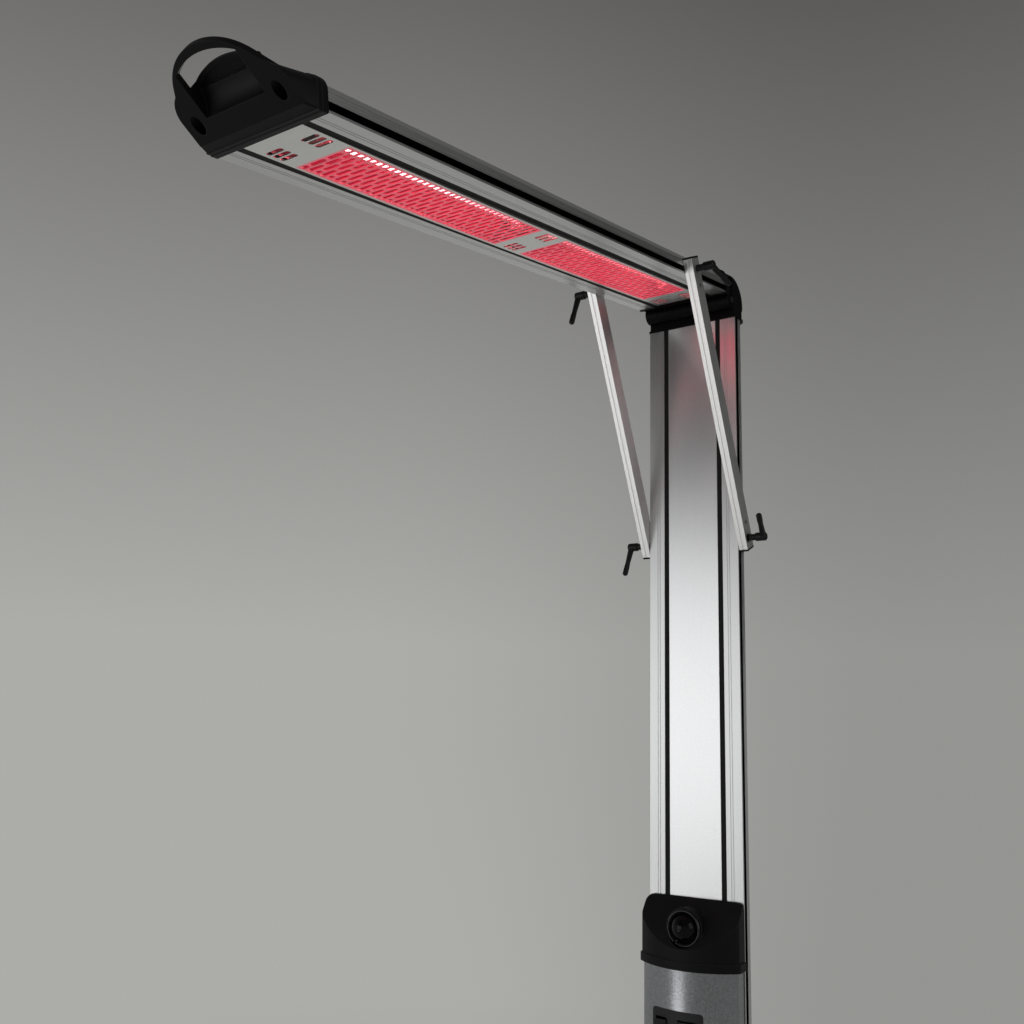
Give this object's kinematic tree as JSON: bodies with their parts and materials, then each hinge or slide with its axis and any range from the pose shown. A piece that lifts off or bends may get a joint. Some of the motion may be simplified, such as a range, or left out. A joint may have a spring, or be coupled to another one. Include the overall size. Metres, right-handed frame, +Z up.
{
  "type": "infrared patio heater tower",
  "caption": "Free-standing infrared heater tower: a lamp arm tilts on a knuckle hinge at the column's top and is held by side struts with clamping levers.",
  "frame": {"origin": "on the floor, below the middle of the column's front face", "axes": "+Z up along the column, the arm points to -Y, X runs across the tower"},
  "size_m": [0.56, 1.4125, 2.2396],
  "materials": {
    "profile": "satin, drawn lengthwise",
    "grille": "satin",
    "reflector": "polished",
    "steel": "brushed",
    "fastener": "plain",
    "black_plastic": "fine grain",
    "switch_plastic": "smooth",
    "strip": "matt",
    "mat": "ribbed",
    "tyre": "matt",
    "base_paint": "textured powder coat",
    "dome_glass": "clear, dark inside",
    "lamp_glass": "clear",
    "filament": "glowing",
    "ceramic": "unglazed ceramic",
    "board": "lacquered board"
  },
  "bodies": {
    "tower": {"floor_mat": "mat", "base_plate": "base_paint", "column_socket": "base_paint", "socket_bolts": "fastener", "socket_clamp_screws": "fastener", "wheel_brackets": "base_paint", "bracket_bolts": "fastener", "wheel_axle": "fastener", "column_profile": "profile", "column_cover": "profile", "column_slot_strips": "strip", "column_hinge_cap": "black_plastic", "column_cap_screws": "fastener", "hinge_pin": "fastener", "sensor_hood": "black_plastic", "sensor_ring": "black_plastic", "sensor_dome": "dome_glass", "sensor_module": "black_plastic", "steel_cover": "steel", "switch_panel": "black_plastic", "foot_cap": "black_plastic", "cable_gland": "black_plastic", "housing_back_plate": "steel", "control_board": "board", "supply_terminals": "ceramic"},
    "arm": {"arm_profile": "profile", "arm_slot_strips": "strip", "grille_panel": "grille", "lamp_tubes": "lamp_glass", "lamp_filaments": "filament", "lamp_holders": "ceramic", "reflectors": "reflector", "arm_terminal_block": "ceramic", "arm_hinge_cap": "black_plastic", "arm_cap_screws": "fastener", "outer_cap": "black_plastic", "outer_cap_screws": "fastener", "upper_nut_left": "fastener", "upper_nut_right": "fastener", "upper_stud_left": "fastener", "upper_stud_right": "fastener"},
    "strut_left": {"strut_bar_left": "profile", "strut_plugs_left": "black_plastic", "strut_screws_left": "fastener"},
    "lower_clamp_left": {"lower_nut_left": "fastener", "lower_stud_left": "fastener"},
    "upper_lever_left_body": {"upper_lever_left": "black_plastic"},
    "lower_lever_left_body": {"lower_lever_left": "black_plastic"},
    "wheel_left_body": {"wheel_left": "tyre"},
    "strut_right": {"strut_bar_right": "profile", "strut_plugs_right": "black_plastic", "strut_screws_right": "fastener"},
    "lower_clamp_right": {"lower_nut_right": "fastener", "lower_stud_right": "fastener"},
    "upper_lever_right_body": {"upper_lever_right": "black_plastic"},
    "lower_lever_right_body": {"lower_lever_right": "black_plastic"},
    "wheel_right_body": {"wheel_right": "tyre"},
    "main_rocker_body": {"main_rocker": "switch_plastic"},
    "heat_rocker_body": {"heat_rocker": "switch_plastic"}
  },
  "joints": [
    {"name": "arm_tilt", "type": "hinge", "parent": "tower", "child": "arm", "pos_m": [0, -0.008, 2.19063], "axis": [1, 0, 0], "range_deg": [-9, 21]},
    {"name": "strut_swing_left", "type": "hinge", "parent": "arm", "child": "strut_left", "pos_m": [-0.0906, -0.18296, 2.17892], "axis": [1, 0, 0], "range_deg": [-26, 12]},
    {"name": "lower_clamp_slide_left", "type": "slide", "parent": "tower", "child": "lower_clamp_left", "axis": [0, 0, 1], "range_m": [-0.09, 0.05]},
    {"name": "strut_swing_right", "type": "hinge", "parent": "arm", "child": "strut_right", "pos_m": [0.0906, -0.18296, 2.17892], "axis": [1, 0, 0], "range_deg": [-26, 12]},
    {"name": "lower_clamp_slide_right", "type": "slide", "parent": "tower", "child": "lower_clamp_right", "axis": [0, 0, 1], "range_m": [-0.09, 0.05]},
    {"name": "upper_lever_turn_left", "type": "hinge", "parent": "arm", "child": "upper_lever_left_body", "pos_m": [-0.1099, -0.18296, 2.17892], "axis": [-1, 0, 0], "range_deg": [0, 120]},
    {"name": "lower_lever_turn_left", "type": "hinge", "parent": "lower_clamp_left", "child": "lower_lever_left_body", "pos_m": [-0.1099, 0.0078, 1.77135], "axis": [-1, 0, 0], "range_deg": [0, 120]},
    {"name": "upper_lever_turn_right", "type": "hinge", "parent": "arm", "child": "upper_lever_right_body", "pos_m": [0.1099, -0.18296, 2.17892], "axis": [1, 0, 0], "range_deg": [0, 120]},
    {"name": "lower_lever_turn_right", "type": "hinge", "parent": "lower_clamp_right", "child": "lower_lever_right_body", "pos_m": [0.1099, 0.0078, 1.77135], "axis": [1, 0, 0], "range_deg": [0, 120]},
    {"name": "main_rocker_press", "type": "hinge", "parent": "tower", "child": "main_rocker_body", "pos_m": [-0.037, -0.046, 0.996], "axis": [1, 0, 0], "range_deg": [-14, 0]},
    {"name": "heat_rocker_press", "type": "hinge", "parent": "tower", "child": "heat_rocker_body", "pos_m": [0.008, -0.046, 0.996], "axis": [1, 0, 0], "range_deg": [-14, 0]},
    {"name": "wheel_spin_left", "type": "hinge", "parent": "tower", "child": "wheel_left_body", "pos_m": [-0.2, 0.27, 0.046], "axis": [1, 0, 0], "continuous": true},
    {"name": "wheel_spin_right", "type": "hinge", "parent": "tower", "child": "wheel_right_body", "pos_m": [0.2, 0.27, 0.046], "axis": [1, 0, 0], "continuous": true}
  ],
  "couplings": [
    {"joint": "strut_swing_left", "follows": "arm_tilt", "ratio": -1.076},
    {"joint": "lower_clamp_slide_left", "follows": "arm_tilt", "m_per_rad": -0.188},
    {"joint": "strut_swing_right", "follows": "arm_tilt", "ratio": -1.076},
    {"joint": "lower_clamp_slide_right", "follows": "arm_tilt", "m_per_rad": -0.188}
  ]
}
